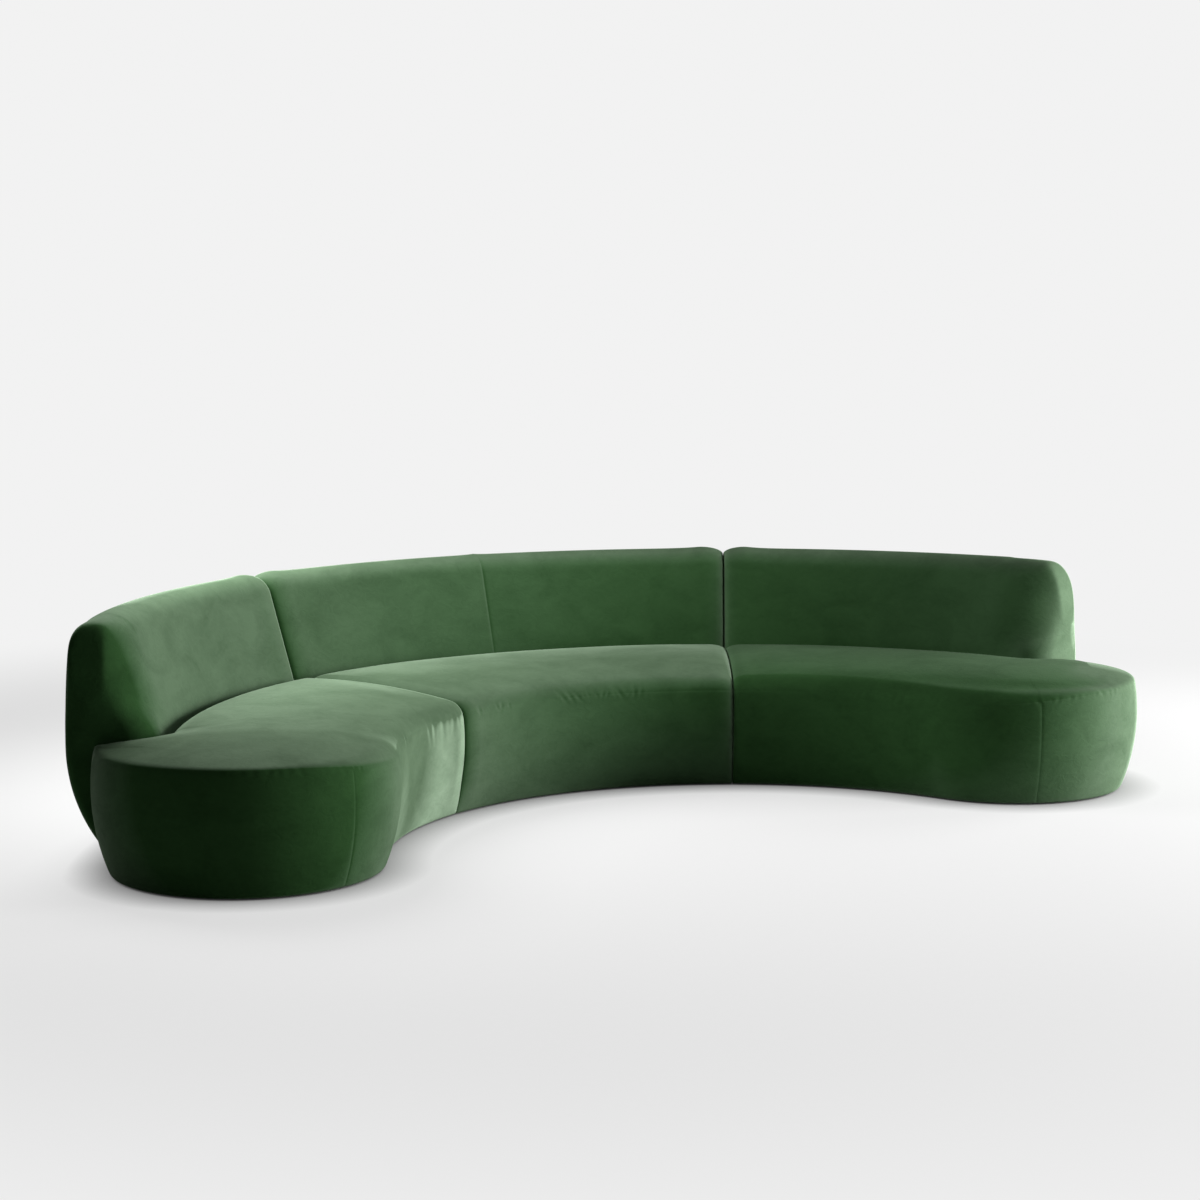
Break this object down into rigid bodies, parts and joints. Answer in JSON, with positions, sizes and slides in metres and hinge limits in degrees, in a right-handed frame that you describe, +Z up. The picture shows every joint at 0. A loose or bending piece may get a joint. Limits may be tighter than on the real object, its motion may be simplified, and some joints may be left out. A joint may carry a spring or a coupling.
{
  "type": "sectional sofa",
  "caption": "Curved sectional sofa in tight velvet: a centre unit and two end units with round open noses, floor-length backs; the end units pull away from the centre unit.",
  "frame": {"origin": "on the floor, at the centre of the sofa's footprint box", "axes": "+Z up; the sitting side faces -Y and the long way runs along X; the plan is mirrored about the YZ plane"},
  "size_m": [3.977, 2.0355, 0.793],
  "materials": {
    "velvet": "green velvet with a short pile",
    "foam": "open-cell upholstery foam",
    "plywood": "birch plywood, sanded",
    "webbing": "woven elastic webbing",
    "dust_cloth": "thin black non-woven cloth",
    "glide_plastic": "moulded black plastic",
    "steel": "zinc-plated steel"
  },
  "bodies": {
    "centre_module": {"centre_back_base_board": "plywood", "centre_back_bolts": "steel", "centre_back_cover": "velvet", "centre_back_front_foam": "foam", "centre_back_lower_rail": "plywood", "centre_back_outer_foam": "foam", "centre_back_ribs": "plywood", "centre_back_top_rail": "plywood", "centre_base_board": "plywood", "centre_connector_sockets": "steel", "centre_dust_cover": "dust_cloth", "centre_front_rail": "plywood", "centre_glides": "glide_plastic", "centre_rear_rail": "plywood", "centre_seat_cover": "velvet", "centre_seat_foam": "foam", "centre_seat_ribs": "plywood", "centre_side_foam": "foam", "centre_webbing": "webbing"},
    "left_module": {"left_back_base_board": "plywood", "left_back_bolts": "steel", "left_back_cover": "velvet", "left_back_front_foam": "foam", "left_back_lower_rail": "plywood", "left_back_outer_foam": "foam", "left_back_ribs": "plywood", "left_back_top_rail": "plywood", "left_base_board": "plywood", "left_connector_tongues": "steel", "left_dust_cover": "dust_cloth", "left_front_rail": "plywood", "left_glides": "glide_plastic", "left_nose_rail": "plywood", "left_rear_rail": "plywood", "left_seat_cover": "velvet", "left_seat_foam": "foam", "left_seat_ribs": "plywood", "left_side_foam": "foam", "left_webbing": "webbing"},
    "right_module": {"right_back_base_board": "plywood", "right_back_bolts": "steel", "right_back_cover": "velvet", "right_back_front_foam": "foam", "right_back_lower_rail": "plywood", "right_back_outer_foam": "foam", "right_back_ribs": "plywood", "right_back_top_rail": "plywood", "right_base_board": "plywood", "right_connector_tongues": "steel", "right_dust_cover": "dust_cloth", "right_front_rail": "plywood", "right_glides": "glide_plastic", "right_nose_rail": "plywood", "right_rear_rail": "plywood", "right_seat_cover": "velvet", "right_seat_foam": "foam", "right_seat_ribs": "plywood", "right_side_foam": "foam", "right_webbing": "webbing"}
  },
  "joints": [
    {"name": "left_pull", "type": "slide", "parent": "centre_module", "child": "left_module", "axis": [-0.878, -0.4787, 0], "range_m": [0, 0.4]},
    {"name": "right_pull", "type": "slide", "parent": "centre_module", "child": "right_module", "axis": [0.878, -0.4787, 0], "range_m": [0, 0.4]}
  ]
}
